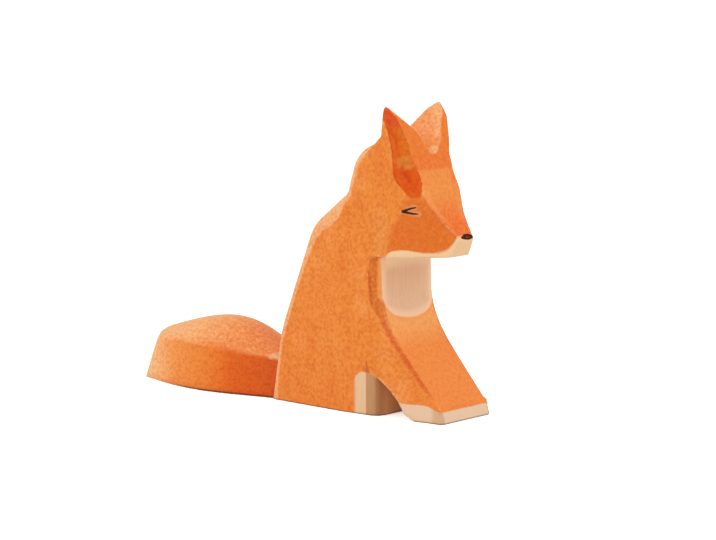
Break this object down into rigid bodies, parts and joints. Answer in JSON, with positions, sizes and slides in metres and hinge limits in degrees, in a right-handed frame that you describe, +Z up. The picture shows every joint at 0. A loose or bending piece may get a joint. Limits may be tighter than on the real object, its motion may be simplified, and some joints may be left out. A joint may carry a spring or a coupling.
{
  "type": "carved wooden fox figurine",
  "caption": "Carved and stained wooden fox that sits on straight forelegs, with upright ears and a leaf-shaped tail pegged to its back.",
  "frame": {"origin": "middle of the length and of the thickness, on the surface that the fox stands on", "axes": "+X the way the fox faces, along its length; +Y to its left, across the board; +Z up"},
  "size_m": [0.1238, 0.025, 0.0896],
  "materials": {
    "stained_wood": "thin orange wood stain, satin, bare pale wood at the chin, chest and paws",
    "tail_wood": "thin orange wood stain, satin, darker red at the root and paler on the crest",
    "dowel_wood": "bare beech"
  },
  "bodies": {
    "root": {"body": "stained_wood", "tail": "tail_wood", "tail_dowel": "dowel_wood"}
  },
  "joints": []
}
